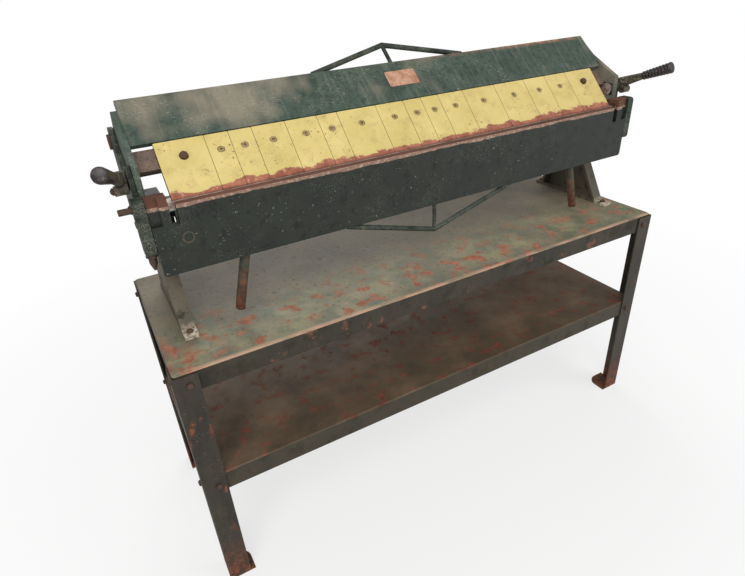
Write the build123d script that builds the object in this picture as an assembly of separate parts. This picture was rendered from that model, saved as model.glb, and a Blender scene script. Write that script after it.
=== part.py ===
from build123d import *
from math import atan2, cos, radians, sin, sqrt
import os

# Bench-type box-and-pan (finger) brake, 48 inch working width, on its bolted sheet-steel table.
# Millimetres. Origin: floor point under the table's centre. X runs along the brake to the
# operator's right, Y to the back, Z up. A piece in the YZ plane is written as (y, z) points.

INCH = 25.4

# Table
TABLE_W = 1417.0            # pan, outside the flanges
TABLE_D = 486.0
TABLE_TOP_Z = 659.5
TOP_FLANGE = 51.0
SHELF_TOP_Z = 362.4
SHELF_FLANGE = 52.6
PAN_T = 3.0                 # sheet thickness of both pans
PAN_CORNER_R = 8.0
TABLE_HOLE_R = 4.0
TABLE_HOLE_INSET = (60.0, 34.0)   # in from the front right corner
LEG_FLANGE = 54.0           # angle-section leg, width of each flange
LEG_T = 4.0
LEG_TOP_GAP = 6.0           # leg top below the table's surface
FOOT_W = 66.0               # splayed foot at the leg's end
FOOT_T = 5.0
LEG_BOLT_R = 4.0
LEG_BOLT_DROP = 31.0        # bolt centre below the surface of its pan
LEG_BOLT_INSET = 33.0       # bolt centre in from the leg's outer corner

# Working line: the bend line is the apron's hinge axis
BEND_Y = -118.6
BEND_Z = 966.0
FINGER_INCHES = (4, 2, 2, 3, 3, 2, 4, 3, 2, 2, 3, 4, 4, 3, 3, 4)
FINGER_SLOPE = 46.3         # degrees from level
FINGER_LENGTH = 129.0       # up the slope
FINGER_T = 14.0
FINGER_GAP = 0.4            # between neighbours
NOSE_CLEAR = 0.6            # sheet gap left under the nose when clamped
NOSE_SETBACK = 1.0          # nose behind the bend line, so the apron can pass it
NOSE_CUT = 4.5              # nose cut upright this far back, for the apron with the leaf up
SCREW_UP = 91.0             # finger screw's place up the slope
SCREW_R = 4.4
SCREW_HEAD_R = 6.8
SCREW_HEAD_H = 5.5
END_BOLT_AF = 15.0
END_BOLT_H = 8.0
HOLDER_FROM = 80.0          # holder bar, places up the slope
HOLDER_TO = 127.0
HOLDER_T = 19.0
SEAT = 0.02                 # air left between sloping faces that sit on each other

# Top leaf
LEAF_HALF = 651.5
LEAF_FOOT = (-27.0, 1062.0)
LEAF_HEAD = (57.2, 1136.8)
LEAF_T = 12.0
ARM_T = 12.5
ARM_OUTLINE = ((-88, 978), (-88, 1038), (10, 1088), (50, 1118), (88, 1080), (124, 1060),
               (124, 1034), (80, 1016), (-20, 966), (-60, 966))
PIVOT = (95.0, 1050.0)
PIVOT_R = 10.0
PIVOT_BOSS_R = 30.0
LEAF_TRUSS_RISE = 59.0
LEAF_TRUSS_HALF = 215.0

# Apron
APRON_HALF = 661.0
APRON_T = 17.3
APRON_FOOT_Z = 821.8
APRON_CORNER_R = 8.0
NOTCH_FROM = 607.0
NOTCH_TO = 621.6
NOTCH_DEPTH = 41.0
EAR_RISE = 18.0             # above the bend line
EAR_DEPTH = 18.6            # behind the bend line
EAR_DROP = 24.0
POCKET_FROM = 639.0
POCKET_DEPTH = 8.0
POCKET_DROP = 38.0
APRON_TRUSS_DROP = 70.0
APRON_TRUSS_HALF = 245.0
TRUSS_R = 6.35
STRUT_R = 5.0
ROD_R = 11.0                # apron handle rods
ROD_TOP = (476.0, 856.0)    # (x, z)
ROD_FOOT = (521.0, 685.0)

# Hinge
HINGE_R = 6.35
HINGE_CLEAR = 0.06          # radial running clearance of every pin in this model
HINGE_PIN_FROM = 624.0
HINGE_PIN_TO = (710.0, 690.0)     # left end stands out further than the right

# Bed and end frames
BED_GAP = 0.4               # apron's back face to the bed
BED_HALF = 48 * INCH / 2
NOSE_BAR_HALF = 620.5
NOSE_BAR_W = 26.0
NOSE_BAR_H = 18.0
BED_WALL = 20.0
BED_FOOT_Z = 880.0
BED_SHELF_TO_Y = -20.0
BED_SHELF_T = 23.0
PLATE_FROM = 665.0          # side plate, inner and outer face
PLATE_TO = 674.5
LOBE_FROM = 662.0           # hinge lobe at the plate's front
LOBE_TO = 684.0
LOBE_FRONT_Y = -136.0
LOBE_BACK_Y = -94.0
LOBE_TOP_Z = 984.0
LOBE_FOOT_Z = 870.0
LOBE_CORNER_R = 9.0
BLOCK_FRONT_Y = -86.0
BLOCK_BACK_Y = 100.0
BLOCK_TOP_Z = 935.0
FRAME_BOLT_Y = (-40.0, 60.0)
FRAME_BOLT_AF = 19.0
FRAME_BOLT_R = 6.0

# Pedestals (front flange leans back; the right one stands a little further out)
PEDESTAL_X = (-655.0, 640.0)      # left face of each
PEDESTAL_W = 31.0
PEDESTAL_T = 8.0
FOOT_FRONT_Y = -130.0
FOOT_BACK_Y = 165.0
STRAP_FOOT_Y = -92.0
STRAP_HEAD_Y = 32.0
REAR_FOOT_Y = 140.0
REAR_HEAD_Y = 95.0
PEDESTAL_BOLT_AF = 14.0
PEDESTAL_BOLT_R = 4.5

# Clamp handles
SHAFT = (-58.0, 1006.0)
SHAFT_R = 8.0
LUG_R = 28.0
ECCENTRIC_R = 16.0
ECCENTRICITY = 6.0
WINDOW_CLEAR = 0.5
WINDOW_REACH = 4.0          # slot length past the eccentric at each end
BOSS_R = 21.0
BOSS_FROM = 675.5
BOSS_TO = 696.0
NECK_END = (703.0, -138.0, 1039.0)
GRIP_END = (722.0, -209.0, 1066.0)
GRIP_ROOT_R = 11.5
GRIP_END_R = 15.0
GRIP_RIBS = 8
LEVER_LUG = (-92.0, 1000.0)
LEVER_LUG_R = 10.0
LEVER_LUG_TO = 712.0

# Nameplate
NAMEPLATE_X = 5.0
NAMEPLATE_W = 84.0
NAMEPLATE_H = 44.0
NAMEPLATE_T = 1.0
RIVET_R = 2.2

FINGER_DIR = (cos(radians(FINGER_SLOPE)), sin(radians(FINGER_SLOPE)))
FINGER_IN = (FINGER_DIR[1], -FINGER_DIR[0])
NOSE = (BEND_Y + NOSE_SETBACK, BEND_Z + NOSE_CLEAR)
LEAF_ANGLE = atan2(LEAF_HEAD[1] - LEAF_FOOT[1], LEAF_HEAD[0] - LEAF_FOOT[0])
LEAF_DIR = (cos(LEAF_ANGLE), sin(LEAF_ANGLE))
LEAF_IN = (LEAF_DIR[1], -LEAF_DIR[0])


def prism_x(points, x0, x1, corner_r=0.0):
    """A (y, z) outline extruded along X."""
    face = make_face(Polyline(*points, close=True))
    if corner_r:
        face = fillet(face.vertices(), corner_r)
    return extrude(Plane.YZ.offset(x0) * face, x1 - x0)


def prism_y(points, y0, y1):
    """An (x, z) outline extruded along Y."""
    return extrude(Plane.XZ.offset(-y1) * make_face(Polyline(*points, close=True)), y1 - y0)


def block(x0, x1, y0, y1, z0, z1):
    """A box by its six faces."""
    return Pos((x0 + x1) / 2, (y0 + y1) / 2, (z0 + z1) / 2) * Box(x1 - x0, y1 - y0, z1 - z0)


def rod(start, end, radius):
    """A round bar between two points."""
    line = Vector(*end) - Vector(*start)
    return Plane(origin=start, z_dir=line) * Cylinder(
        radius, line.length, align=(Align.CENTER, Align.CENTER, Align.MIN))


def bar_x(centre, radius, x0, x1):
    """A round bar along X about a (y, z) centre."""
    return rod((x0, *centre), (x1, *centre), radius)


def hex_at(origin, direction, across_flats, height):
    """A hexagonal prism that stands on origin, with a chamfered far end."""
    blank = extrude(RegularPolygon(across_flats / sqrt(3), 6), height)
    cone = Cone(across_flats * 0.72, across_flats * 0.72 - height, height,
                align=(Align.CENTER, Align.CENTER, Align.MIN))
    return Plane(origin=origin, z_dir=direction) * (blank & Pos(0, 0, height * 0.12) * cone
                                                    + extrude(RegularPolygon(across_flats / sqrt(3), 6),
                                                              height * 0.55))


def on_slope(start, direction, inward, along, depth):
    """A (y, z) point along a sloping face and below it."""
    return (start[0] + along * direction[0] + depth * inward[0],
            start[1] + along * direction[1] + depth * inward[1])


def on_finger(along, depth):
    return on_slope(NOSE, FINGER_DIR, FINGER_IN, along, depth)


def on_leaf(along, depth):
    return on_slope(LEAF_FOOT, LEAF_DIR, LEAF_IN, along, depth)


def both_sides(name, solid):
    """The right-hand piece and its mirror image on the left."""
    return {name + "_right": solid, name + "_left": mirror(solid, about=Plane.YZ)}


# ---- table ----

def pan(top_z, flange):
    """A folded sheet pan, open underneath."""
    outer = block(-TABLE_W / 2, TABLE_W / 2, -TABLE_D / 2, TABLE_D / 2, top_z - flange, top_z)
    outer = fillet(outer.edges().filter_by(Axis.Z), PAN_CORNER_R)
    outer = fillet(outer.faces().sort_by(Axis.Z)[-1].edges(), PAN_T + 1)
    half_w = TABLE_W / 2 - PAN_T
    half_d = TABLE_D / 2 - PAN_T
    inner = block(-half_w, half_w, -half_d, half_d, top_z - flange - 1, top_z - PAN_T)
    inner = fillet(inner.edges().filter_by(Axis.Z), PAN_CORNER_R - PAN_T)
    return outer - inner


def leg_bolt_places():
    """(start point on the leg's outer face, outward direction) of every leg bolt."""
    places = []
    for pan_z in (TABLE_TOP_Z, SHELF_TOP_Z):
        for side_x in (-1, 1):
            for side_y in (-1, 1):
                z = pan_z - LEG_BOLT_DROP
                outer_x = side_x * (TABLE_W / 2 + LEG_T)
                outer_y = side_y * (TABLE_D / 2 + LEG_T)
                inset_x = outer_x - side_x * LEG_BOLT_INSET
                inset_y = outer_y - side_y * LEG_BOLT_INSET
                places.append(((inset_x, outer_y, z), (0, side_y, 0)))
                places.append(((outer_x, inset_y, z), (side_x, 0, 0)))
    return places


def bolt_holes(places, radius, depth):
    """Cutters along each bolt, from outside its face to below it."""
    cutters = []
    for origin, direction in places:
        start = Vector(*origin) + Vector(*direction) * 2
        end = Vector(*origin) - Vector(*direction) * depth
        cutters.append(rod(start, end, radius))
    return cutters


def through_bolt(origin, direction, radius, across_flats, grip, nut=True):
    """A hexagon bolt whose head stands on origin, with a nut behind the grip."""
    out = Vector(*direction)
    head = hex_at(origin, direction, across_flats, across_flats * 0.42)
    end = Vector(*origin) - out * (grip + (across_flats * 0.55 if nut else 0))
    bolt = head + rod(origin, end, radius)
    if nut:
        nut_at = Vector(*origin) - out * grip
        bolt += hex_at(nut_at, -out, across_flats, across_flats * 0.45)
    return bolt


def leg(side_x, side_y):
    """One angle-section leg with its splayed foot."""
    outer_x = TABLE_W / 2 + LEG_T
    outer_y = TABLE_D / 2 + LEG_T
    top = TABLE_TOP_Z - LEG_TOP_GAP
    section = (block(outer_x - LEG_FLANGE, outer_x, outer_y - LEG_T, outer_y, 0, top)
               + block(outer_x - LEG_T, outer_x, outer_y - LEG_FLANGE, outer_y, 0, top))
    foot = block(outer_x - FOOT_W, outer_x, outer_y - FOOT_W, outer_y, 0, FOOT_T)
    inner_corner = foot.edges().filter_by(Axis.Z).sort_by(lambda e: e.center().X + e.center().Y)[0]
    solid = section + fillet(inner_corner, FOOT_W * 0.45)
    outer_corner = solid.edges().filter_by(Axis.Z).sort_by(lambda e: e.center().X + e.center().Y)[-1]
    solid = fillet(outer_corner, LEG_T - 0.5)
    if side_x < 0:
        solid = mirror(solid, about=Plane.YZ)
    if side_y < 0:
        solid = mirror(solid, about=Plane.XZ)
    return solid


def table():
    holes = bolt_holes(leg_bolt_places(), LEG_BOLT_R + 0.1, LEG_T + PAN_T + 1)
    top = pan(TABLE_TOP_Z, TOP_FLANGE) - holes
    hole_x = TABLE_W / 2 - TABLE_HOLE_INSET[0]
    hole_y = -TABLE_D / 2 + TABLE_HOLE_INSET[1]
    top -= rod((hole_x, hole_y, TABLE_TOP_Z - PAN_T - 1), (hole_x, hole_y, TABLE_TOP_Z + 1),
               TABLE_HOLE_R)
    pedestal_cuts = bolt_holes(pedestal_bolt_places(), PEDESTAL_BOLT_R + 0.1,
                               PEDESTAL_T + PAN_T + 1)
    nodes = {"table_top": top - pedestal_cuts,
             "shelf": pan(SHELF_TOP_Z, SHELF_FLANGE) - holes}
    for row, side_y in (("front", -1), ("rear", 1)):
        for side, side_x in (("left", -1), ("right", 1)):
            nodes[f"leg_{row}_{side}"] = leg(side_x, side_y) - holes
    bolts = [through_bolt(origin, direction, LEG_BOLT_R, 13, LEG_T + PAN_T)
             for origin, direction in leg_bolt_places()]
    nodes["leg_bolts"] = Compound(children=bolts)
    return nodes


# ---- pedestals, bed and end frames ----

def pedestal_bolt_places():
    places = []
    for x0 in PEDESTAL_X:
        middle = x0 + PEDESTAL_W / 2
        for y in ((FOOT_FRONT_Y + STRAP_FOOT_Y) / 2, (REAR_FOOT_Y + FOOT_BACK_Y) / 2 + 2):
            places.append(((middle, y, TABLE_TOP_Z + PEDESTAL_T), (0, 0, 1)))
    return places


def pedestal(x0, outer):
    """A bracket of web, foot and two leaning flanges; the web lies towards the outside."""
    x1 = x0 + PEDESTAL_W
    foot_z = TABLE_TOP_Z + PEDESTAL_T
    web_x = x1 - PEDESTAL_T if outer > 0 else x0
    outline = ((STRAP_FOOT_Y, foot_z), (STRAP_HEAD_Y, BED_FOOT_Z), (REAR_HEAD_Y, BED_FOOT_Z),
               (REAR_FOOT_Y, foot_z))
    web = prism_x(outline, web_x, web_x + PEDESTAL_T)
    core = prism_x(outline, x0, x1)
    flange_w = PEDESTAL_T / cos(atan2(STRAP_HEAD_Y - STRAP_FOOT_Y, BED_FOOT_Z - foot_z))
    inside = ((STRAP_FOOT_Y + flange_w, foot_z - 1), (STRAP_HEAD_Y + flange_w, BED_FOOT_Z - PEDESTAL_T),
              (REAR_HEAD_Y - flange_w, BED_FOOT_Z - PEDESTAL_T), (REAR_FOOT_Y - flange_w, foot_z - 1))
    flanges = core - prism_x(inside, x0 - 1, x1 + 1)
    foot = block(x0, x1, FOOT_FRONT_Y, FOOT_BACK_Y, TABLE_TOP_Z, foot_z)
    foot = fillet(foot.edges().filter_by(Axis.Z), 3)
    return web + flanges + foot


def bed_frame():
    front = BEND_Y + BED_GAP - 0.1
    bar_z = BEND_Z - NOSE_BAR_H
    shelf_z = bar_z - BED_SHELF_T
    wall = front + BED_WALL
    bed = prism_x(((front, BED_FOOT_Z), (front, bar_z), (BED_SHELF_TO_Y, bar_z),
                   (BED_SHELF_TO_Y, shelf_z), (wall, shelf_z), (wall, BED_FOOT_Z)),
                  -BED_HALF, BED_HALF)
    bar = block(-NOSE_BAR_HALF, NOSE_BAR_HALF, front, front + NOSE_BAR_W, bar_z, BEND_Z)
    bolts = [((side * PLATE_TO, y, (BED_FOOT_Z + BLOCK_TOP_Z) / 2), (side, 0, 0))
             for side in (-1, 1) for y in FRAME_BOLT_Y]
    grip = PLATE_TO - PLATE_FROM + 30
    holes = bolt_holes(bolts, FRAME_BOLT_R + 0.1, grip + 1)
    nodes = {"bed": bed, "bed_nose_bar": chamfer(bar.edges().filter_by(Axis.Z), 1.5)}
    end_block = block(BED_HALF, PLATE_FROM, BLOCK_FRONT_Y, BLOCK_BACK_Y, BED_FOOT_Z, BLOCK_TOP_Z)
    pins = both_sides("hinge_pin", bar_x((BEND_Y, BEND_Z), HINGE_R, HINGE_PIN_FROM, HINGE_PIN_TO[1]))
    pins["hinge_pin_left"] = bar_x((BEND_Y, BEND_Z), HINGE_R, -HINGE_PIN_TO[0], -HINGE_PIN_FROM)
    for name, solid in {**both_sides("end_block", end_block),
                        **both_sides("side_plate", side_plate())}.items():
        nodes[name] = solid - holes
    nodes.update({name: chamfer(pin.edges().filter_by(GeomType.CIRCLE), 0.8)
                  for name, pin in pins.items()})
    nodes["frame_bolts"] = Compound(children=[
        through_bolt(origin, direction, FRAME_BOLT_R, FRAME_BOLT_AF, grip, nut=False)
        for origin, direction in bolts])
    for side, x0, outer in (("left", PEDESTAL_X[0], -1), ("right", PEDESTAL_X[1], 1)):
        cuts = bolt_holes(pedestal_bolt_places(), PEDESTAL_BOLT_R + 0.1, PEDESTAL_T + PAN_T + 1)
        nodes["pedestal_" + side] = pedestal(x0, outer) - cuts
    nodes["pedestal_bolts"] = Compound(children=[
        through_bolt(origin, direction, PEDESTAL_BOLT_R, PEDESTAL_BOLT_AF, PEDESTAL_T + PAN_T)
        for origin, direction in pedestal_bolt_places()])
    return nodes


def side_plate():
    """The right end plate: hinge lobe in front, lug for the clamp shaft, head for the pivot."""
    back = BLOCK_BACK_Y + 25
    plate = prism_x(((LOBE_BACK_Y - 10, BED_FOOT_Z), (LOBE_BACK_Y - 10, 962), (SHAFT[0] - LUG_R, 972),
                     (SHAFT[0] - LUG_R, SHAFT[1]), (SHAFT[0] + LUG_R, SHAFT[1]),
                     (SHAFT[0] + LUG_R + 12, 985), (PIVOT[0] - PIVOT_BOSS_R, PIVOT[1]),
                     (PIVOT[0] + PIVOT_BOSS_R, PIVOT[1]), (back, BED_FOOT_Z)), PLATE_FROM, PLATE_TO)
    plate += bar_x(SHAFT, LUG_R, PLATE_FROM, PLATE_TO)
    plate += bar_x(PIVOT, PIVOT_BOSS_R, PLATE_FROM, PLATE_TO)
    lobe = prism_x(((LOBE_FRONT_Y, LOBE_FOOT_Z), (LOBE_FRONT_Y, LOBE_TOP_Z),
                    (LOBE_BACK_Y, LOBE_TOP_Z), (LOBE_BACK_Y, LOBE_FOOT_Z)),
                   LOBE_FROM, LOBE_TO, LOBE_CORNER_R)
    plate += chamfer(lobe.faces().sort_by(Axis.X)[-1].edges(), 1.5)
    for centre, radius in ((SHAFT, SHAFT_R), (PIVOT, PIVOT_R), ((BEND_Y, BEND_Z), HINGE_R)):
        plate -= bar_x(centre, radius + HINGE_CLEAR, LOBE_FROM - 1, LOBE_TO + 1)
    return plate


def adjusting_screw():
    """The pointed screw that stands down from the left hinge lobe."""
    x = -(LOBE_FROM + LOBE_TO) / 2
    head_z = LOBE_FOOT_Z - 18
    neck = rod((x, BEND_Y, LOBE_FOOT_Z), (x, BEND_Y, head_z), 8)
    nut = hex_at((x, BEND_Y, LOBE_FOOT_Z), (0, 0, -1), 20, 9)
    tip = Pos(x, BEND_Y, head_z - 8) * Cone(2.5, 8, 16)
    return neck + nut + tip


# ---- apron ----

def truss(start, direction, rise, half):
    """A bent rod and its strut, welded along an edge; start is the (y, z) of that edge."""
    apex = (start[0] + direction[0] * rise, start[1] + direction[1] * rise)
    solid = rod((-half, *start), (0, *apex), TRUSS_R) + rod((half, *start), (0, *apex), TRUSS_R)
    solid += Pos(0, *apex) * Sphere(TRUSS_R)
    solid += rod((0, *start), (0, *apex), STRUT_R)
    keep = Plane(origin=(0, *start), x_dir=(1, 0, 0), z_dir=(0, *direction)) * Pos(
        0, 0, rise) * Box(2 * half + 100, 100, 2 * rise)
    return solid & keep


def apron():
    front = BEND_Y - 0.1 - APRON_T
    back = BEND_Y - 0.1
    ear_top = BEND_Z + EAR_RISE
    notch_z = BEND_Z - NOTCH_DEPTH
    outline = [(NOTCH_FROM, BEND_Z), (NOTCH_FROM, notch_z), (NOTCH_TO, notch_z), (NOTCH_TO, ear_top),
               (APRON_HALF, ear_top), (APRON_HALF, APRON_FOOT_Z)]
    outline += [(-x, z) for x, z in reversed(outline)]
    plate = prism_y(outline, front, back)
    feet = plate.edges().filter_by(Axis.Y).group_by(Axis.Z)[0]
    plate = fillet(feet, APRON_CORNER_R)
    ear = block(NOTCH_TO, APRON_HALF, back - 1, BEND_Y + EAR_DEPTH, BEND_Z - EAR_DROP, ear_top)
    ear = fillet(ear.faces().sort_by(Axis.Y)[-1].edges().filter_by(Axis.X), 6)
    pocket = block(POCKET_FROM, APRON_HALF + 1, front - 1, front + POCKET_DEPTH,
                   BEND_Z - POCKET_DROP, ear_top + 1)
    for part in (ear, mirror(ear, about=Plane.YZ)):
        plate += part
    for cut in (pocket, mirror(pocket, about=Plane.YZ)):
        plate -= cut
    plate -= bar_x((BEND_Y, BEND_Z), HINGE_R + HINGE_CLEAR, -APRON_HALF - 1, -NOTCH_TO + 1)
    plate -= bar_x((BEND_Y, BEND_Z), HINGE_R + HINGE_CLEAR, NOTCH_TO - 1, APRON_HALF + 1)
    rod_y = back + ROD_R + 0.05
    handle = rod((ROD_TOP[0], rod_y, ROD_TOP[1]), (ROD_FOOT[0], rod_y, ROD_FOOT[1]), ROD_R)
    handle = chamfer(handle.edges().filter_by(GeomType.CIRCLE), 1.5)
    brace = truss(((front + back) / 2, APRON_FOOT_Z), (0, -1), APRON_TRUSS_DROP,
                  APRON_TRUSS_HALF)
    return {"apron": plate, "apron_truss": brace, **both_sides("apron_rod", handle)}


# ---- top leaf ----

def fingers():
    """Fingers from the left, each with a counterbored screw hole at its middle."""
    outline = ((NOSE[0] + NOSE_CUT, NOSE[1]), on_finger(NOSE_CUT / FINGER_DIR[0], 0),
               on_finger(FINGER_LENGTH, 0), on_finger(FINGER_LENGTH, FINGER_T),
               on_finger(FINGER_T * FINGER_DIR[0] / FINGER_DIR[1], FINGER_T))
    nodes = {}
    centres = []
    x = -BED_HALF
    for number, width in enumerate(FINGER_INCHES, start=1):
        x1 = x + width * INCH
        centre = (x + x1) / 2
        solid = prism_x(outline, x + FINGER_GAP / 2, x1 - FINGER_GAP / 2)
        last = number in (1, len(FINGER_INCHES))
        solid -= screw_rod(centre, -1, FINGER_T + 1, SCREW_R + 0.1)
        if not last:
            solid -= screw_rod(centre, -1, SCREW_HEAD_H + 0.5, SCREW_HEAD_R + 0.2)
        nodes[f"finger_{number:02d}"] = solid
        centres.append((centre, last))
        x = x1
    return nodes, centres


def screw_rod(x, depth0, depth1, radius):
    """A round bar square to the finger face, between two depths below it."""
    return rod((x, *on_finger(SCREW_UP, depth0)), (x, *on_finger(SCREW_UP, depth1)), radius)


def finger_fasteners(centres):
    out = (0, -FINGER_IN[0], -FINGER_IN[1])
    screws = []
    bolts = []
    for x, last in centres:
        shank = screw_rod(x, 0 if last else 1, FINGER_T + HOLDER_T - 2, SCREW_R)
        if last:
            washer = screw_rod(x, -1.5, 0, END_BOLT_AF * 0.62)
            head = hex_at((x, *on_finger(SCREW_UP, -1.5)), out, END_BOLT_AF, END_BOLT_H)
            bolts.append(shank + washer + head)
        else:
            head = screw_rod(x, 0.4, SCREW_HEAD_H + 0.4, SCREW_HEAD_R)
            socket = Plane(origin=(x, *on_finger(SCREW_UP, SCREW_HEAD_H - 1)), z_dir=out) * extrude(
                RegularPolygon(3.6, 6), SCREW_HEAD_H + 2)
            screws.append(shank + head - socket)
    return Compound(children=screws), Compound(children=bolts)


def leaf():
    nodes, centres = fingers()
    length = (LEAF_HEAD[0] - LEAF_FOOT[0]) / LEAF_DIR[0]
    plate = prism_x((on_leaf(0, 0), on_leaf(length, 0), on_leaf(length, LEAF_T), on_leaf(0, LEAF_T)),
                    -LEAF_HALF, LEAF_HALF)
    seat = FINGER_T + SEAT
    bar = prism_x((on_finger(HOLDER_FROM, seat), on_finger(HOLDER_TO, seat),
                   on_finger(HOLDER_TO, seat + HOLDER_T), on_finger(HOLDER_FROM, seat + HOLDER_T)),
                  -LEAF_HALF, LEAF_HALF)
    for x, last in centres:
        bar -= screw_rod(x, 0, FINGER_T + HOLDER_T + 1, SCREW_R + 0.1)
    arm_x = LEAF_HALF + ARM_T
    arm = prism_x(ARM_OUTLINE, LEAF_HALF, arm_x) + bar_x(PIVOT, PIVOT_BOSS_R - 2, LEAF_HALF, arm_x)
    turn = ECCENTRICITY * sqrt(0.5)
    eccentric = (SHAFT[0] - turn, SHAFT[1] - turn)
    half = ECCENTRIC_R + WINDOW_CLEAR
    arm -= block(LEAF_HALF - 1, arm_x + 1, eccentric[0] - ECCENTRIC_R - WINDOW_REACH,
                 eccentric[0] + ECCENTRIC_R + WINDOW_REACH, eccentric[1] - half, eccentric[1] + half)
    arm -= bar_x(PIVOT, PIVOT_R + HINGE_CLEAR, LEAF_HALF - 1, arm_x + 1)
    pin = bar_x(PIVOT, PIVOT_R, LEAF_HALF, PLATE_TO + 1)
    pin += bar_x(PIVOT, PIVOT_R + 6, PLATE_TO + 0.3, PLATE_TO + 6)
    screws, bolts = finger_fasteners(centres)
    nodes.update(both_sides("leaf_arm", arm))
    nodes.update(both_sides("pivot_pin", pin))
    nodes["top_leaf"] = plate
    nodes["finger_bar"] = bar
    nodes["finger_screws"] = screws
    nodes["end_finger_bolts"] = bolts
    nodes["leaf_truss"] = truss(on_leaf(length + SEAT, LEAF_T / 2), LEAF_DIR, LEAF_TRUSS_RISE,
                                LEAF_TRUSS_HALF)
    nodes["nameplate"], nodes["nameplate_rivets"] = nameplate(length * 0.55)
    return nodes


def nameplate(along):
    """A bare plate on the leaf and its four rivets."""
    out = (0, -LEAF_IN[0], -LEAF_IN[1])
    face = Plane(origin=(NAMEPLATE_X, *on_leaf(along, -SEAT)), x_dir=(1, 0, 0), z_dir=out)
    plate = extrude(RectangleRounded(NAMEPLATE_W, NAMEPLATE_H, 4), NAMEPLATE_T)
    rivets = []
    for x in (-1, 1):
        for y in (-1, 1):
            place = Pos(x * (NAMEPLATE_W / 2 - 6), y * (NAMEPLATE_H / 2 - 6), NAMEPLATE_T)
            dome = Sphere(RIVET_R) & Pos(0, 0, RIVET_R) * Box(9, 9, 2 * RIVET_R)
            rivets.append(face * place * dome)
    return face * plate, Compound(children=rivets)


# ---- clamp handles ----

def grip():
    """A tapered, ribbed grip along the lever's line."""
    line = Vector(*GRIP_END) - Vector(*NECK_END)
    pitch = line.length / GRIP_RIBS
    points = [(0, 0), (GRIP_ROOT_R - 2, 0)]
    for rib in range(GRIP_RIBS):
        radius = GRIP_ROOT_R + (GRIP_END_R - GRIP_ROOT_R) * rib / (GRIP_RIBS - 1)
        base = rib * pitch
        points += [(radius, base + 0.25 * pitch), (radius, base + 0.75 * pitch),
                   (radius - 1.2, base + pitch)]
    points += [(0, line.length)]
    profile = make_face(Polyline(*[(r, 0, z) for r, z in points], close=True))
    return Plane(origin=NECK_END, z_dir=line) * revolve(profile, Axis.Z)


def clamp_handle():
    turn = ECCENTRICITY * sqrt(0.5)
    eccentric = (SHAFT[0] - turn, SHAFT[1] - turn)
    shaft = bar_x(SHAFT, SHAFT_R, LEAF_HALF + 0.5, BOSS_TO + 2)
    shaft += bar_x(eccentric, ECCENTRIC_R, LEAF_HALF + 0.5, LEAF_HALF + ARM_T - 0.2)
    boss = bar_x(SHAFT, BOSS_R, BOSS_FROM, BOSS_TO)
    boss = fillet(boss.edges().filter_by(GeomType.CIRCLE), 2)
    start = ((BOSS_FROM + BOSS_TO) / 2, SHAFT[0] - 4, SHAFT[1] + 4)
    line = Vector(*NECK_END) - Vector(*start)
    sections = [Plane(origin=start, x_dir=(1, 0, 0), z_dir=line) * RectangleRounded(17, 32, 6),
                Plane(origin=NECK_END, x_dir=(1, 0, 0), z_dir=line) * RectangleRounded(16, 18, 6)]
    lever = boss + loft(Sketch() + sections)
    lever += bar_x(LEVER_LUG, LEVER_LUG_R, BOSS_FROM + 3, LEVER_LUG_TO - 8)
    lever -= bar_x(SHAFT, SHAFT_R + HINGE_CLEAR, BOSS_FROM - 1, BOSS_TO + 1)
    lever -= bar_x(LEVER_LUG, 4.1, BOSS_FROM, LEVER_LUG_TO)
    handle_grip = grip()
    lever -= handle_grip
    screw = bar_x(LEVER_LUG, 4, BOSS_FROM + 5, LEVER_LUG_TO - 8)
    screw += hex_at((LEVER_LUG_TO - 8, *LEVER_LUG), (1, 0, 0), 13, 7)
    nodes = {}
    for name, solid in (("eccentric_shaft", shaft), ("clamp_handle", lever),
                        ("handle_grip", handle_grip), ("handle_screw", screw)):
        nodes.update(both_sides(name, solid))
    return nodes


NODES = {**table(), **bed_frame(), **apron(), **leaf(), **clamp_handle(),
         "adjusting_screw": adjusting_screw()}

os.makedirs("parts", exist_ok=True)
for node, shape in NODES.items():
    shape.label = node
    export_step(shape, f"parts/{node}.step")
print(len(NODES), "nodes")
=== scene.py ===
from math import cos, pi, radians, sin

import bpy
from mathutils import Matrix, Vector


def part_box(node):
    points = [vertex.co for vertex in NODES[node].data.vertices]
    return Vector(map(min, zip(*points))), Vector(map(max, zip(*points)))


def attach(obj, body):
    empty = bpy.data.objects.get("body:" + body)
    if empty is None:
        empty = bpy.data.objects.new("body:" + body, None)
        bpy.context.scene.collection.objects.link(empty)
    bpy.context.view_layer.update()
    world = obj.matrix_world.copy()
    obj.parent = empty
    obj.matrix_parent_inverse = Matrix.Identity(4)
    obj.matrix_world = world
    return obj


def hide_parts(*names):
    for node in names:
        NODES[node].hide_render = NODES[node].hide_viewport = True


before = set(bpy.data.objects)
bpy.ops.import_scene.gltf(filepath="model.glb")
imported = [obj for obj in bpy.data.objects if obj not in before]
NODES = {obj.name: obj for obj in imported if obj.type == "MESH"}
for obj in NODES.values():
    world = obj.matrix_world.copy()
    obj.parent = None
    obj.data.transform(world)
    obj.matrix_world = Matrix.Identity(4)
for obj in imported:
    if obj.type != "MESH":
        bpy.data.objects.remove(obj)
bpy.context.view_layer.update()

bl_info = {
    "name": "Finger brake finishes",
    "version": (1, 0, 0),
    "blender": (4, 5, 0),
    "location": "3D View > Sidebar > Brake",
    "description": "Worn paint, rust, grips and weld beads for a bench-type finger brake",
    "category": "Object",
}

MM = 0.001


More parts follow.
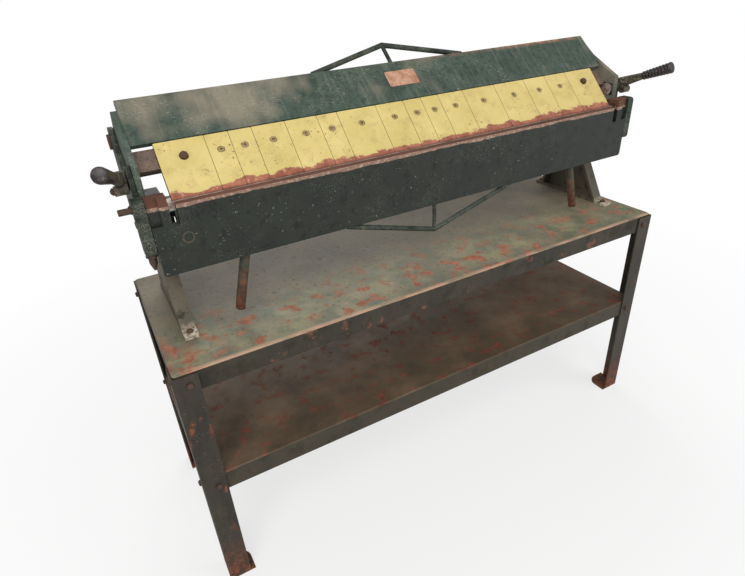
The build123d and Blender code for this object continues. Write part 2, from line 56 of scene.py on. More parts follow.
FINGERS = sorted(name for name in NODES if name.startswith("finger_") and name[7:].isdigit())
BEND_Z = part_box("bed_nose_bar")[1][2]
APRON_FRONT_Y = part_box("apron")[0][1]
APRON_FOOT_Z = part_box("apron")[0][2]
LEAF_TOP = Vector((0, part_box("top_leaf")[1][1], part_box("top_leaf")[1][2]))
TABLE_LOW, TABLE_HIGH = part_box("table_top")
GRIP_ROOT = (703, -138, 1039)        # right-hand grip, millimetres: narrow end
GRIP_END = (722, -209, 1066)         # and wide end
GRIP_ROOT_R = 11.5 * MM
GRIP_END_R = 15 * MM
PLUG_WELD_X = -0.598
CAMERA_PLACE = (-0.73916, -1.18689, 1.32583)
CAMERA_YAW, CAMERA_PITCH, CAMERA_ROLL = 27.42, 29.94, -3.61


# ---- node and colour helpers ----

def linear(hex_colour):
    """An sRGB hex colour as linear RGBA."""
    channels = [int(hex_colour[i:i + 2], 16) / 255 for i in (1, 3, 5)]
    return tuple(c / 12.92 if c <= 0.04045 else ((c + 0.055) / 1.055) ** 2.4 for c in channels) + (1.0,)


def add(tree, kind, settings=None, links=None):
    """Adds a node. Lower-case settings are its properties, others are its input values."""
    node = tree.nodes.new(kind)
    for key, value in (settings or {}).items():
        if isinstance(key, str) and key[0].islower():
            setattr(node, key, value)
        else:
            node.inputs[key].default_value = value
    for key, socket in (links or {}).items():
        tree.links.new(socket, node.inputs[key])
    return node


def place(tree, size_mm, stretch=(1, 1, 1), turn=(0, 0, 0), shift=0.0):
    """Object coordinates scaled so that one pattern cell is size_mm, drawn out by stretch."""
    coords = add(tree, "ShaderNodeTexCoord").outputs["Object"]
    turned = add(tree, "ShaderNodeMapping", {"Rotation": tuple(radians(a) for a in turn)},
                 {"Vector": coords})
    scale = tuple(1 / (size_mm * MM * s) for s in stretch)
    return add(tree, "ShaderNodeMapping", {"Scale": scale, "Location": (shift, shift * 0.7, shift * 1.3)},
               {"Vector": turned.outputs[0]}).outputs[0]


def patches(tree, size_mm, start, full, detail=6.0, stretch=(1, 1, 1), shift=0.0, turn=(0, 0, 0)):
    """Ragged blotches: 0 where the noise is under start, 1 over full."""
    noise = add(tree, "ShaderNodeTexNoise", {"Scale": 1.0, "Detail": detail, "Roughness": 0.62},
                {"Vector": place(tree, size_mm, stretch, turn, shift)})
    return add(tree, "ShaderNodeMapRange", {"From Min": start, "From Max": full},
               {"Value": noise.outputs["Fac"]}).outputs[0]


def nicks(tree, length_mm, width_mm, turn, share, shift=0.0):
    """Short scratches in one direction: long thin cells, of which only a share is struck."""
    stretch = (1, width_mm / length_mm, width_mm / length_mm)
    vector = place(tree, length_mm, stretch, turn, shift)
    cells = add(tree, "ShaderNodeTexVoronoi", {"Scale": 1.0}, {"Vector": vector})
    mark = add(tree, "ShaderNodeMapRange", {"From Min": share, "From Max": share * 0.55},
               {"Value": cells.outputs["Distance"]})
    return mark.outputs[0]


def maths(tree, operation, first, second):
    """Joins two masks, or a mask and a number."""
    node = add(tree, "ShaderNodeMath", {"operation": operation, "use_clamp": True})
    for socket, value in zip(node.inputs, (first, second)):
        if isinstance(value, (int, float)):
            socket.default_value = value
        else:
            tree.links.new(value, socket)
    return node.outputs[0]


def along(tree, axis, start, full):
    """A mask that grows with one object coordinate, in metres."""
    coords = add(tree, "ShaderNodeTexCoord").outputs["Object"]
    split = add(tree, "ShaderNodeSeparateXYZ", {}, {"Vector": coords})
    return add(tree, "ShaderNodeMapRange", {"From Min": start, "From Max": full},
               {"Value": split.outputs[axis]}).outputs[0]


def facing(tree, axis, start, full):
    """A mask of the faces that point along an axis of the piece."""
    coords = add(tree, "ShaderNodeTexCoord").outputs["Normal"]
    split = add(tree, "ShaderNodeSeparateXYZ", {}, {"Vector": coords})
    return add(tree, "ShaderNodeMapRange", {"From Min": start, "From Max": full},
               {"Value": split.outputs[axis]}).outputs[0]


def blend(tree, mask, under, over):
    """Colour over shows where the mask is 1. Each colour is hex text or a socket."""
    node = add(tree, "ShaderNodeMix", {"data_type": "RGBA"}, {0: mask})
    for index, value in ((6, under), (7, over)):
        if isinstance(value, str):
            node.inputs[index].default_value = linear(value)
        else:
            tree.links.new(value, node.inputs[index])
    return node.outputs[2]


def surface(name, make, roughness=0.5, metallic=0.0, specular=0.4, grain_mm=3.0, bump=0.12):
    """A material whose colour, wear masks and relief come from make(tree).

    make returns the colour, a mask of rough places and a mask of bare metal; either may be None."""
    material = bpy.data.materials.new(name)
    material.use_nodes = True
    tree = material.node_tree
    shader = tree.nodes["Principled BSDF"]
    shader.inputs["Specular IOR Level"].default_value = specular
    colour, rough_mask, bare_mask = make(tree)
    tree.links.new(colour, shader.inputs["Base Color"])
    mottled = patches(tree, 60, 0.3, 0.7)
    spread = maths(tree, "MULTIPLY", mottled, 0.16)
    level = maths(tree, "ADD", spread, roughness - 0.08)
    if rough_mask is not None:
        level = maths(tree, "ADD", level, maths(tree, "MULTIPLY", rough_mask, 0.3))
    tree.links.new(level, shader.inputs["Roughness"])
    if bare_mask is None:
        shader.inputs["Metallic"].default_value = metallic
    else:
        tree.links.new(maths(tree, "MULTIPLY", bare_mask, 0.6), shader.inputs["Metallic"])
    grain = add(tree, "ShaderNodeTexNoise", {"Scale": 1.0, "Detail": 4.0},
                {"Vector": place(tree, grain_mm)})
    height = grain.outputs["Fac"]
    if rough_mask is not None:
        height = maths(tree, "SUBTRACT", height, maths(tree, "MULTIPLY", rough_mask, 0.5))
    relief = add(tree, "ShaderNodeBump", {"Strength": bump, "Distance": 0.001}, {"Height": height})
    tree.links.new(relief.outputs[0], shader.inputs["Normal"])
    return material


def scratch_set(tree, length_mm, width_mm, share, shift):
    """Scratches in four directions over the sloping and upright faces."""
    mask = None
    for index, turn in enumerate(((0, 0, 0), (0, 37, 22), (0, -48, -30), (20, 80, 10))):
        mark = nicks(tree, length_mm * (1 - 0.15 * index), width_mm, turn, share, shift + 3.1 * index)
        mask = mark if mask is None else maths(tree, "MAXIMUM", mask, mark)
    return mask


# ---- finishes ----

def leaf_enamel():
    """Machine enamel, brushed on, rubbed and scratched by sheet metal: grey-green, many light nicks."""
    def make(tree):
        colour = blend(tree, patches(tree, 90, 0.35, 0.7), "#33443a", "#45564a")
        colour = blend(tree, patches(tree, 12, 0.5, 0.62, 8), colour, "#2b3a33")
        # long streaks down the slope where sheets slide
        colour = blend(tree, maths(tree, "MULTIPLY", patches(tree, 40, 0.5, 0.75, 5, (0.25, 3, 3)), 0.5),
                       colour, "#76796a")
        colour = blend(tree, maths(tree, "MULTIPLY", patches(tree, 260, 0.52, 0.66, 3, shift=4), 0.42),
                       colour, "#b6a58f")
        rust = patches(tree, 45, 0.66, 0.7, 9, shift=11)
        colour = blend(tree, maths(tree, "MULTIPLY", rust, 0.8), colour, "#5d4234")
        marks = maths(tree, "MULTIPLY", scratch_set(tree, 26, 2.0, 0.2, 5.0),
                      patches(tree, 70, 0.48, 0.62, 4, shift=2))
        chips = patches(tree, 7, 0.69, 0.72, 4, shift=7)
        marks = maths(tree, "MAXIMUM", marks, chips)
        # the top edge is rubbed to the primer, more towards the right
        towards_right = maths(tree, "MULTIPLY", along(tree, 0, -0.1, 0.5),
                              patches(tree, 14, 0.35, 0.6, shift=9))
        edge = maths(tree, "MULTIPLY", along(tree, 2, LEAF_TOP.z - 0.009, LEAF_TOP.z - 0.002),
                     towards_right)
        colour = blend(tree, edge, colour, "#a3765f")
        return blend(tree, maths(tree, "MULTIPLY", marks, 0.75), colour, "#b9b9a8"), rust, None
    return surface("scratched_grey_green_enamel", make, 0.46, bump=0.2)


def apron_enamel():
    """The same enamel, nearly black-green: chipped face, worn brown top with a pale front edge."""
    def make(tree):
        colour = blend(tree, patches(tree, 140, 0.3, 0.7), "#171d18", "#262b23")
        colour = blend(tree, patches(tree, 18, 0.54, 0.64, 7, shift=3), colour, "#111713")
        marks = maths(tree, "MULTIPLY", scratch_set(tree, 18, 1.6, 0.18, 9.0),
                      patches(tree, 90, 0.5, 0.66, 4, shift=6))
        chips = maths(tree, "MULTIPLY", patches(tree, 6, 0.66, 0.7, 3, shift=2),
                      patches(tree, 120, 0.45, 0.6, 3, shift=8))
        marks = maths(tree, "MAXIMUM", marks, chips)
        colour = blend(tree, maths(tree, "MULTIPLY", marks, 0.7), colour, "#8f9484")
        # a rubbed front top edge, ragged by a few millimetres
        rag = maths(tree, "MULTIPLY", patches(tree, 30, 0.25, 0.8, 8, (2.5, 1, 1), shift=1), 0.009)
        height = add(tree, "ShaderNodeSeparateXYZ", {}, {
            "Vector": add(tree, "ShaderNodeTexCoord").outputs["Object"]}).outputs[2]
        worn = add(tree, "ShaderNodeMapRange", {"From Min": BEND_Z - 0.0045, "From Max": BEND_Z - 0.0035},
                   {"Value": add(tree, "ShaderNodeMath", {"operation": "ADD"},
                                 {0: height, 1: rag}).outputs[0]}).outputs[0]
        top = along(tree, 2, BEND_Z - 0.0012, BEND_Z - 0.0004)
        colour = blend(tree, worn, colour, "#84695a")
        colour = blend(tree, maths(tree, "MULTIPLY", worn, patches(tree, 9, 0.5, 0.62)), colour, "#b3937f")
        rust = blend(tree, patches(tree, 50, 0.35, 0.65, 6, (4, 1, 1)), "#4c3024", "#6d4636")
        colour = blend(tree, top, colour, rust)
        return colour, maths(tree, "MAXIMUM", top, marks), None
    return surface("chipped_dark_green_enamel", make, 0.5, bump=0.22)


def frame_enamel():
    """Dark green enamel on castings: grimy, with pale scratches in patches."""
    def make(tree):
        colour = blend(tree, patches(tree, 60, 0.3, 0.7), "#1e261f", "#363e32")
        dirt = patches(tree, 22, 0.52, 0.62, 7, shift=5)
        colour = blend(tree, dirt, colour, "#1f2420")
        marks = maths(tree, "MULTIPLY", scratch_set(tree, 12, 1.4, 0.28, 2.0),
                      patches(tree, 40, 0.45, 0.6, shift=3))
        return blend(tree, maths(tree, "MULTIPLY", marks, 0.7), colour, "#9a9c88"), dirt, None
    return surface("grimy_green_enamel", make, 0.55, bump=0.3)


def finger_paint():
    """Pale yellow machine paint on steel: worn to red-brown metal in a ragged band at the nose."""
    def make(tree):
        colour = blend(tree, patches(tree, 80, 0.35, 0.65), "#cdb970", "#dcc783")
        colour = blend(tree, maths(tree, "MULTIPLY", patches(tree, 30, 0.52, 0.66, 8, shift=4), 0.5),
                       colour, "#b9a368")
        pits = maths(tree, "MULTIPLY", patches(tree, 6, 0.63, 0.67, 3, shift=6),
                     patches(tree, 60, 0.45, 0.6, shift=2))
        colour = blend(tree, pits, colour, "#7d5a3c")
        marks = maths(tree, "MULTIPLY", scratch_set(tree, 14, 1.3, 0.2, 7.0), patches(tree, 50, 0.5, 0.6))
        colour = blend(tree, maths(tree, "MULTIPLY", marks, 0.6), colour, "#8f7a52")
        # paint is gone up to 14 mm above the nose and ragged by as much again
        height = add(tree, "ShaderNodeSeparateXYZ", {}, {
            "Vector": add(tree, "ShaderNodeTexCoord").outputs["Object"]}).outputs[2]
        rag = patches(tree, 28, 0.2, 0.8, 10, (1.6, 1, 1), shift=3)
        drop = add(tree, "ShaderNodeMath", {"operation": "MULTIPLY_ADD", 1: 0.022, 2: -0.011}, {0: rag})
        level = add(tree, "ShaderNodeMath", {"operation": "ADD"}, {0: height, 1: drop.outputs[0]})
        worn = add(tree, "ShaderNodeMapRange", {"From Min": BEND_Z + 0.0125, "From Max": BEND_Z + 0.0105},
                   {"Value": level.outputs[0]}).outputs[0]
        rust = blend(tree, patches(tree, 24, 0.35, 0.65, 8), "#8a4f3c", "#b0745c")
        rust = blend(tree, patches(tree, 8, 0.58, 0.66, 5), rust, "#c99a7f")
        colour = blend(tree, worn, colour, rust)
        # painted shade in the gaps between fingers: the faces and rounded side edges that point sideways are
        # darkened
        gap_shade = maths(tree, "ADD", facing(tree, 0, 0.25, 0.6), facing(tree, 0, -0.25, -0.6))
        colour = blend(tree, gap_shade, colour, "#3b2d1f")
        return colour, maths(tree, "MAXIMUM", worn, pits), None
    return surface("worn_yellow_machine_paint", make, 0.5, bump=0.2)


def table_paint():
    """Bench enamel worn thin by work: faded green over beige dust, orange-red primer in patches."""
    def make(tree):
        grey = blend(tree, patches(tree, 120, 0.35, 0.65), "#5c564a", "#79705b")
        green = blend(tree, patches(tree, 60, 0.4, 0.6, 8, shift=2), "#5d6350", "#857f60")
        front = maths(tree, "MULTIPLY", along(tree, 1, 0.02, -0.17), patches(tree, 100, 0.3, 0.55, shift=7))
        colour = blend(tree, front, grey, green)
        primer = maths(tree, "MULTIPLY", patches(tree, 42, 0.53, 0.6, 11, shift=5),
                       along(tree, 1, 0.0, -0.16))
        corner = maths(tree, "MULTIPLY", along(tree, 0, -0.56, -0.66), along(tree, 1, -0.12, -0.2))
        primer = maths(tree, "MAXIMUM", primer, maths(tree, "MULTIPLY", corner,
                                                      patches(tree, 34, 0.46, 0.56, 9, shift=1)))
        colour = blend(tree, primer, colour, blend(tree, patches(tree, 20, 0.4, 0.6), "#8b4f3a", "#a06a52"))
        specks = patches(tree, 9, 0.6, 0.66, 6, shift=3)
        colour = blend(tree, maths(tree, "MULTIPLY", specks, 0.6), colour, "#4d4536")
        marks = maths(tree, "MULTIPLY", scratch_set(tree, 30, 1.6, 0.22, 4.0), patches(tree, 90, 0.45, 0.6))
        colour = blend(tree, maths(tree, "MULTIPLY", marks, 0.5), colour, "#b5ab92")
        edge = maths(tree, "MULTIPLY", along(tree, 1, TABLE_LOW[1] + 0.012, TABLE_LOW[1] + 0.004),
                     patches(tree, 25, 0.35, 0.5, 6, (4, 1, 1)))
        colour = blend(tree, maths(tree, "MULTIPLY", edge, 0.75), colour, "#c09a80")
        side = blend(tree, patches(tree, 90, 0.35, 0.65, 6, (1, 1, 2)), "#28251c", "#3b3428")
        side = blend(tree, patches(tree, 30, 0.6, 0.66, 7, shift=8), side, "#6a4433")
        upright = along(tree, 2, TABLE_HIGH[2] - 0.0025, TABLE_HIGH[2] - 0.004)
        return blend(tree, upright, colour, side), maths(tree, "MAXIMUM", primer, specks), None
    return surface("worn_bench_enamel", make, 0.56, bump=0.25)


def shelf_paint():
    """Olive-brown enamel under dust, with dark-red rust blooms where things were stored."""
    def make(tree):
        colour = blend(tree, patches(tree, 110, 0.35, 0.65), "#463a2b", "#5c4b38")
        bloom = patches(tree, 36, 0.54, 0.63, 11, shift=6)
        colour = blend(tree, bloom, colour, blend(tree, patches(tree, 14, 0.4, 0.6), "#5c3124", "#763f30"))
        dust = maths(tree, "MULTIPLY", patches(tree, 200, 0.45, 0.7, 5, shift=2), 0.6)
        colour = blend(tree, dust, colour, "#7f6a55")
        side = blend(tree, patches(tree, 60, 0.35, 0.65), "#343024", "#433b2d")
        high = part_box("shelf")[1][2]
        return blend(tree, along(tree, 2, high - 0.0025, high - 0.004), colour, side), bloom, None
    return surface("rusting_olive_enamel", make, 0.6, bump=0.28)


def leg_paint():
    """Dark olive enamel on folded angle: streaked, rusted through at the foot."""
    def make(tree):
        colour = blend(tree, patches(tree, 50, 0.35, 0.65, 6, (1, 1, 4)), "#25211a", "#3a3328")
        rust = maths(tree, "MAXIMUM", patches(tree, 30, 0.62, 0.68, 8, (1, 1, 3), shift=4),
                     maths(tree, "MULTIPLY", along(tree, 2, 0.15, 0.02), patches(tree, 20, 0.35, 0.5, 8)))
        colour = blend(tree, rust, colour, blend(tree, patches(tree, 9, 0.4, 0.6), "#4f3022", "#7d4a33"))
        marks = maths(tree, "MULTIPLY", scratch_set(tree, 20, 1.5, 0.2, 6.0), patches(tree, 60, 0.48, 0.6))
        return blend(tree, maths(tree, "MULTIPLY", marks, 0.6), colour, "#85806f"), rust, None
    return surface("streaked_olive_enamel", make, 0.55, bump=0.28)


def pedestal_paint():
    """Olive enamel gone grey-brown with dust, rubbed pale in ragged patches towards its front."""
    def make(tree):
        colour = blend(tree, patches(tree, 70, 0.35, 0.65, 6, (1, 1, 3)), "#474134", "#5f5848")
        dark = patches(tree, 26, 0.55, 0.64, 8, shift=2)
        colour = blend(tree, dark, colour, "#3a3a2e")
        foot = maths(tree, "MULTIPLY", along(tree, 1, -0.085, -0.1), patches(tree, 10, 0.35, 0.55))
        return blend(tree, foot, colour, "#c4b5a0"), dark, None
    return surface("dusty_olive_enamel", make, 0.6, bump=0.25)


def rusty_steel(name, dark, light, size_mm=22, shift=0.0):
    """Hot-rolled steel left bare: even brown rust, finely pitted."""
    def make(tree):
        colour = blend(tree, patches(tree, size_mm, 0.35, 0.65, 8, shift=shift), dark, light)
        pits = patches(tree, 4, 0.55, 0.65, 4, shift=shift + 2)
        return blend(tree, maths(tree, "MULTIPLY", pits, 0.6), colour, "#2b1d16"), pits, None
    return surface(name, make, 0.62, bump=0.4, grain_mm=2)


def rod_finish():
    """Round bar with dark green paint above, rusting brown towards the hand end."""
    def make(tree):
        rust = blend(tree, patches(tree, 16, 0.4, 0.6, 8), "#4b2f23", "#7a4a35")
        paint = blend(tree, patches(tree, 30, 0.4, 0.6), "#2f372c", "#454a3a")
        mask = maths(tree, "ADD", maths(tree, "MULTIPLY", along(tree, 2, 0.8, 0.7), 0.9),
                     maths(tree, "MULTIPLY", patches(tree, 12, 0.5, 0.6, 8, shift=3), 0.5))
        return blend(tree, mask, paint, rust), mask, None
    return surface("rusting_painted_bar", make, 0.6, bump=0.35)


def bright_steel():
    """Machined steel kept bare by use: pale with a pink-brown tarnish."""
    def make(tree):
        colour = blend(tree, patches(tree, 18, 0.4, 0.65, 7), "#c9bdb2", "#a48f82")
        tarnish = patches(tree, 30, 0.5, 0.62, 8, shift=3)
        return blend(tree, tarnish, colour, "#7c6053"), tarnish, maths(tree, "SUBTRACT", 1.0, tarnish)
    return surface("tarnished_machined_steel", make, 0.38)


def grip_finish():
    """Black enamel on the ribbed iron grip: brown-black, with rubbed patches."""
    def make(tree):
        colour = blend(tree, patches(tree, 18, 0.4, 0.62, 7), "#171212", "#2c2423")
        worn = patches(tree, 9, 0.56, 0.66, 6, shift=2)
        return blend(tree, maths(tree, "MULTIPLY", worn, 0.7), colour, "#7b706c"), worn, None
    return surface("worn_black_grip_enamel", make, 0.4, specular=0.5, bump=0.3)


def lever_finish():
    """Sand-cast lever, olive paint mostly gone: grey-brown iron with a grainy skin."""
    def make(tree):
        colour = blend(tree, patches(tree, 14, 0.4, 0.6, 8), "#37332b", "#4f493d")
        bare = patches(tree, 10, 0.55, 0.64, 7, shift=4)
        return blend(tree, bare, colour, "#7b7567"), bare, None
    return surface("bare_cast_iron_lever", make, 0.5, bump=0.5, grain_mm=1.6)


def plate_finish():
    """Etched brass nameplate left blank: red-brown lacquer, pale where rubbed."""
    def make(tree):
        colour = blend(tree, patches(tree, 20, 0.4, 0.62, 6), "#a9765a", "#c99f84")
        return blend(tree, patches(tree, 5, 0.56, 0.66, 4), colour, "#8c4a38"), None, None
    return surface("tarnished_lacquered_brass", make, 0.4, specular=0.5)


def weld_finish():
    """Arc weld under old paint: dark, lumpy, a little rust."""
    def make(tree):
        colour = blend(tree, patches(tree, 8, 0.4, 0.6), "#333a30", "#51483a")
        return colour, patches(tree, 4, 0.5, 0.6), None
    return surface("painted_arc_weld", make, 0.55, bump=0.5, grain_mm=2)


# ---- modelling helpers ----

def start_clean():
    """Leaves edit mode and deselects everything."""
    if bpy.context.object and bpy.context.object.mode != "OBJECT":
        bpy.ops.object.mode_set(mode="OBJECT")
    bpy.ops.object.select_all(action="DESELECT")


def only(piece):
    """Makes a piece the one selected, active object."""
    start_clean()
    piece.select_set(True)
    bpy.context.view_layer.objects.active = piece


def settle(piece, name, material, body):
    """Names a finished piece, fixes its place in its mesh, and lets it ride on a body."""
    only(piece)
    bpy.ops.object.transform_apply(location=True, rotation=True, scale=True)
    bpy.ops.object.shade_smooth_by_angle(angle=radians(40))
    piece.name = name
    piece.data.name = name
    piece.data.materials.clear()
    piece.data.materials.append(material)
    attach(piece, body)


def weld_bead(name, start, end, radius, material, body):
    """A row of overlapping lens-shaped ripples from start to end."""
    start, end = Vector(start), Vector(end)
    count = max(3, int((end - start).length / (radius * 0.7)))
    start_clean()
    ripples = []
    for step in range(count + 1):
        bpy.ops.mesh.primitive_ico_sphere_add(subdivisions=2, radius=radius,
                                              location=start.lerp(end, step / count))
        ripple = bpy.context.object
        ripple.scale = (1.0 + 0.12 * sin(step * 2.3), 0.95, 0.85 + 0.1 * cos(step * 1.7))
        ripples.append(ripple)
    for ripple in ripples:
        ripple.select_set(True)
    bpy.context.view_layer.objects.active = ripples[0]
    bpy.ops.object.join()
    settle(bpy.context.object, name, material, body)


def soften(piece, width):
    """Rounds the crisp edges of a CAD piece by live modifiers, its own mesh untouched."""
    weld = piece.modifiers.new("merge", "WELD")
    weld.merge_threshold = 0.00002
    bevel = piece.modifiers.new("edge", "BEVEL")
    bevel.width = width
    bevel.segments = 2
    bevel.limit_method = "ANGLE"
    bevel.angle_limit = radians(38)
    bevel.use_clamp_overlap = True


# ---- settings ----

class BrakeSettings(bpy.types.PropertyGroup):
    edge_width: bpy.props.FloatProperty(
        name="Edge rounding", description="Width of the rounding on plate edges",
        default=0.8 * MM, unit="LENGTH")
    finger_edge: bpy.props.FloatProperty(
        name="Finger edge", description="Width of the rounding along each finger",
        default=1.8 * MM, unit="LENGTH")
    weld_radius: bpy.props.FloatProperty(
        name="Weld bead", description="Radius of one ripple of a weld bead",
        default=3.6 * MM, unit="LENGTH")
    rib_count: bpy.props.IntProperty(
        name="Grip ribs", description="Ribs along each grip", default=9)
    lens: bpy.props.FloatProperty(
        name="Camera lens", description="Focal length of the camera in millimetres", default=26.22)
    floor_colour: bpy.props.FloatVectorProperty(
        name="Floor", description="Colour of the studio floor", default=(0.86, 0.86, 0.85),
        subtype="COLOR")


# ---- operators ----

class BRAKE_OT_finishes(bpy.types.Operator):
    """Give every frame piece its finish"""
    bl_idname = "brake.finishes"
    bl_label = "Paint and metal"

    def execute(self, context):
        green, leaf, legs, posts = frame_enamel(), leaf_enamel(), leg_paint(), pedestal_paint()
        steel, rods = bright_steel(), rod_finish()
        bolts = rusty_steel("browned_bolt_steel", "#3a2a22", "#5f4636", 10)
        bar = rusty_steel("rusted_finger_bar", "#6a5a4e", "#8a7466", 30, 5.0)
        wanted = {
            "table_top": table_paint(), "shelf": shelf_paint(), "apron": apron_enamel(),
            "bed": green, "top_leaf": leaf, "finger_bar": bar, "bed_nose_bar": steel,
            "nameplate": plate_finish(), "nameplate_rivets": steel, "apron_truss": green,
            "leaf_truss": green,
            "finger_screws": rusty_steel("worn_socket_screw_steel", "#8a7650", "#b09a68", 6, 2.0),
        }
        wanted.update({name: finger for finger in [finger_paint()] for name in FINGERS})
        for side in ("left", "right"):
            wanted.update({
                f"side_plate_{side}": green, f"end_block_{side}": green, f"leaf_arm_{side}": leaf,
                f"pedestal_{side}": posts, f"apron_rod_{side}": rods,
                f"leg_front_{side}": legs, f"leg_rear_{side}": legs,
                f"hinge_pin_{side}": bolts, f"pivot_pin_{side}": bolts,
                f"eccentric_shaft_{side}": steel})
        lever = lever_finish()
        wanted.update({f"clamp_handle_{side}": lever for side in ("left", "right")})
        for name, piece in NODES.items():
            piece.data.materials.clear()
            piece.data.materials.append(wanted.get(name, bolts))
        return {"FINISHED"}


class BRAKE_OT_edges(bpy.types.Operator):
    """Round the crisp edges of plates and castings"""
    bl_idname = "brake.edges"
    bl_label = "Edges"

    def execute(self, context):
        width = context.scene.brake.edge_width
        plain = ("finger_screws", "nameplate", "nameplate_rivets", "leg_bolts", "handle_screw",
                 "handle_grip", "eccentric")
        for name, piece in NODES.items():
            if name in FINGERS:
                soften(piece, context.scene.brake.finger_edge)
            elif not name.startswith(plain):
                soften(piece, width)
        return {"FINISHED"}


class BRAKE_OT_grips(bpy.types.Operator):
    """Model the ribbed lever grips"""
    bl_idname = "brake.grips"
    bl_label = "Grips"

    def execute(self, context):
        material = grip_finish()
        for side, sign in (("left", -1), ("right", 1)):
            self.grip(context, side, sign, material)
        return {"FINISHED"}

    def grip(self, context, side, sign, material):
        """A lathe-turned profile of rounded ribs, spun about the lever's line."""
        ribs = context.scene.brake.rib_count
        end_r, root_r = GRIP_END_R, GRIP_ROOT_R
        root = Vector((GRIP_ROOT[0] * sign, *GRIP_ROOT[1:])) * MM
        end = Vector((GRIP_END[0] * sign, *GRIP_END[1:])) * MM
        axis = (end - root).normalized()
        length = (end - root).length
        start_clean()
        bpy.ops.mesh.primitive_circle_add(vertices=32, radius=root_r * 0.8, fill_type="NGON",
                                          location=(0, 0, 0))
        piece = bpy.context.object
        bpy.ops.object.mode_set(mode="EDIT")
        bpy.ops.mesh.select_all(action="SELECT")
        radius = root_r * 0.8
        steps = [(0.0, 0.92)]
        for rib in range(ribs):
            share = rib / (ribs - 1)
            full = root_r + (end_r - root_r) * share
            steps += [((rib + 0.18) / ribs, full / root_r), ((rib + 0.42) / ribs, full * 1.0 / root_r),
                      ((rib + 0.72) / ribs, full * 0.97 / root_r), ((rib + 0.9) / ribs, full * 0.87 / root_r)]
        steps += [(0.985, end_r * 0.93 / root_r), (1.0, end_r * 0.8 / root_r)]
        done = 0.0
        for share, ratio in steps:
            bpy.ops.mesh.extrude_region_move(
                TRANSFORM_OT_translate={"value": (0, 0, (share - done) * length)})
            grow = ratio * root_r / radius
            bpy.ops.transform.resize(value=(grow, grow, 1))
            radius = ratio * root_r
            done = share
        bpy.ops.mesh.select_all(action="SELECT")
        bpy.ops.mesh.normals_make_consistent(inside=False)
        bpy.ops.object.mode_set(mode="OBJECT")
        turn = axis.to_track_quat("Z", "Y").to_matrix().to_4x4()
        piece.matrix_world = Matrix.Translation(root) @ turn
        settle(piece, f"ribbed_grip_{side}", material, f"handle_{side}")
        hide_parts(f"handle_grip_{side}")


class BRAKE_OT_welds(bpy.types.Operator):
    """Add the weld beads of the trusses and rods"""
    bl_idname = "brake.welds"
    bl_label = "Weld beads"

    def execute(self, context):
        material = weld_finish()
        radius = context.scene.brake.weld_radius
        for truss, body in (("apron_truss", "apron"), ("leaf_truss", "leaf")):
            low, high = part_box(truss)
            edge_z = high[2] - 3 * MM if truss == "apron_truss" else low[2] + 5 * MM
            edge_y = (low[1] + high[1]) / 2 if truss == "apron_truss" else low[1] + 4 * MM
            for side in (-1, 1):
                tip = side * (high[0] - 4 * MM)
                weld_bead(f"{truss}_weld_{'left' if side < 0 else 'right'}",
                          (tip, edge_y, edge_z), (tip - side * 26 * MM, edge_y, edge_z),
                          radius * 0.9, material, body)
        for side in ("left", "right"):
            low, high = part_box(f"apron_rod_{side}")
            x = high[0] - 14 * MM if side == "left" else low[0] + 14 * MM
            for offset in (-9 * MM, 9 * MM):
                weld_bead(f"apron_rod_weld_{side}_{'a' if offset < 0 else 'b'}",
                          (x + offset, low[1] + 3 * MM, high[2] - 4 * MM),
                          (x + offset, low[1] + 3 * MM, APRON_FOOT_Z + 4 * MM),
                          radius * 0.8, material, "apron")
        start_clean()
        bpy.ops.mesh.primitive_torus_add(
            major_radius=11 * MM, minor_radius=2.2 * MM, major_segments=40, minor_segments=10,
            location=(PLUG_WELD_X, APRON_FRONT_Y + 1.2 * MM, (APRON_FOOT_Z + BEND_Z) / 2),
            rotation=(pi / 2, 0, 0))
        settle(bpy.context.object, "apron_plug_weld", material, "apron")
        return {"FINISHED"}


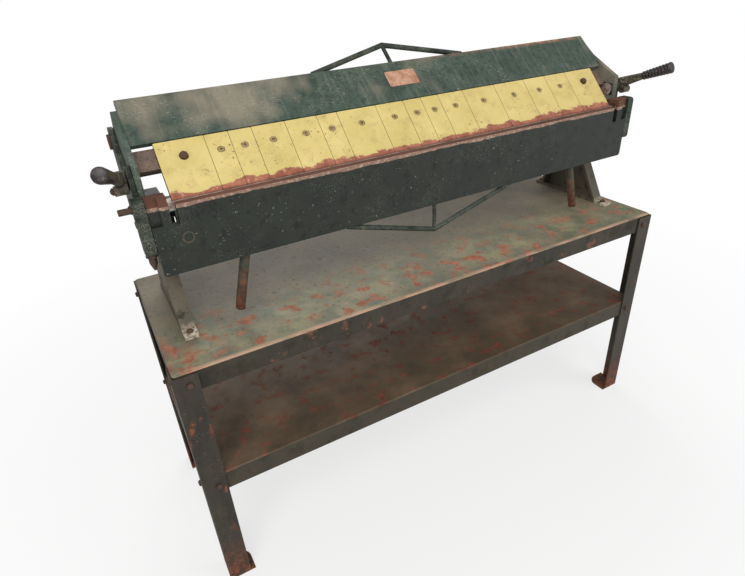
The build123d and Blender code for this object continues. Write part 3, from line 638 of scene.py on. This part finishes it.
class BRAKE_OT_stage(bpy.types.Operator):
    """Build the pale floor, the soft lights and the camera"""
    bl_idname = "brake.stage"
    bl_label = "Stage"

    def execute(self, context):
        self.floor(context)
        self.lights(context)
        self.camera(context)
        return {"FINISHED"}

    def floor(self, context):
        start_clean()
        bpy.ops.mesh.primitive_plane_add(size=40, location=(0, 0, -0.0005))
        floor = bpy.context.object
        floor.name = "studio_floor"
        material = bpy.data.materials.new("white_paper_floor")
        material.use_nodes = True
        tree = material.node_tree
        tree.nodes.clear()
        diffuse = add(tree, "ShaderNodeBsdfDiffuse",
                      {"Color": (*context.scene.brake.floor_colour, 1.0)})
        glow = add(tree, "ShaderNodeEmission", {"Color": (1, 1, 1, 1), "Strength": 1.0})
        seen = add(tree, "ShaderNodeLightPath").outputs["Is Camera Ray"]
        # further from the object the paper is plain white to the camera
        place_xyz = add(tree, "ShaderNodeTexCoord").outputs["Object"]
        reach = add(tree, "ShaderNodeVectorMath", {"operation": "LENGTH"}, {0: place_xyz}).outputs["Value"]
        away = add(tree, "ShaderNodeMapRange", {"From Min": 0.7, "From Max": 2.2, "To Min": 0.62},
                   {"Value": reach}).outputs[0]
        share = maths(tree, "MULTIPLY", seen, away)
        mixed = add(tree, "ShaderNodeMixShader", {}, {0: share, 1: diffuse.outputs[0],
                                                      2: glow.outputs[0]})
        add(tree, "ShaderNodeOutputMaterial", {}, {"Surface": mixed.outputs[0]})
        floor.data.materials.append(material)

    def lights(self, context):
        world = bpy.data.worlds.new("studio_world")
        context.scene.world = world
        world.use_nodes = True
        tree = world.node_tree
        tree.nodes.clear()
        seen = add(tree, "ShaderNodeLightPath").outputs["Is Camera Ray"]
        strength = add(tree, "ShaderNodeMath", {"operation": "MULTIPLY_ADD", 1: 0.55, 2: 0.45}, {0: seen})
        background = add(tree, "ShaderNodeBackground", {"Color": (1, 1, 1, 1)},
                         {"Strength": strength.outputs[0]})
        add(tree, "ShaderNodeOutputWorld", {}, {"Surface": background.outputs[0]})
        for name, place_at, size, power in (("key", (-1.6, -2.4, 3.2), 2.2, 78),
                                            ("fill", (2.4, -2.6, 2.0), 2.6, 42),
                                            ("back", (0.4, 2.6, 3.0), 2.6, 45)):
            lamp = bpy.data.lights.new(name, "AREA")
            lamp.size = size
            lamp.energy = power
            holder = bpy.data.objects.new(name, lamp)
            context.scene.collection.objects.link(holder)
            aim = Vector((0, 0, 0.8)) - Vector(place_at)
            holder.matrix_world = (Matrix.Translation(place_at)
                                   @ aim.to_track_quat("-Z", "Y").to_matrix().to_4x4())

    def camera(self, context):
        yaw, pitch, roll = (radians(angle) for angle in (CAMERA_YAW, CAMERA_PITCH, CAMERA_ROLL))
        forward = Vector((sin(yaw) * cos(pitch), cos(yaw) * cos(pitch), -sin(pitch)))
        level = Vector((cos(yaw), -sin(yaw), 0))
        rise = level.cross(forward)
        right = level * cos(roll) + rise * sin(roll)
        up = rise * cos(roll) - level * sin(roll)
        camera = bpy.data.cameras.new("camera")
        camera.lens = context.scene.brake.lens
        camera.sensor_width = 36
        holder = bpy.data.objects.new("camera", camera)
        context.scene.collection.objects.link(holder)
        turn = Matrix((right, up, -forward)).transposed().to_4x4()
        holder.matrix_world = Matrix.Translation(CAMERA_PLACE) @ turn
        context.scene.camera = holder
        context.scene.view_settings.view_transform = "Standard"


class BRAKE_PT_panel(bpy.types.Panel):
    """Steps of the finger brake, in order"""
    bl_label = "Finger brake"
    bl_space_type = "VIEW_3D"
    bl_region_type = "UI"
    bl_category = "Brake"

    def draw(self, context):
        for name in ("edge_width", "finger_edge", "weld_radius", "rib_count", "lens", "floor_colour"):
            self.layout.prop(context.scene.brake, name)
        for operator in OPERATORS:
            self.layout.operator(operator.bl_idname)


OPERATORS = (BRAKE_OT_finishes, BRAKE_OT_edges, BRAKE_OT_grips, BRAKE_OT_welds, BRAKE_OT_stage)
CLASSES = (BrakeSettings, *OPERATORS, BRAKE_PT_panel)


def register():
    for item in CLASSES:
        bpy.utils.register_class(item)
    bpy.types.Scene.brake = bpy.props.PointerProperty(type=BrakeSettings)


def unregister():
    del bpy.types.Scene.brake
    for item in reversed(CLASSES):
        bpy.utils.unregister_class(item)


def main():
    register()
    bpy.ops.brake.finishes()
    bpy.ops.brake.edges()
    bpy.ops.brake.grips()
    bpy.ops.brake.welds()
    bpy.ops.brake.stage()


if __name__ == "__main__":
    main()
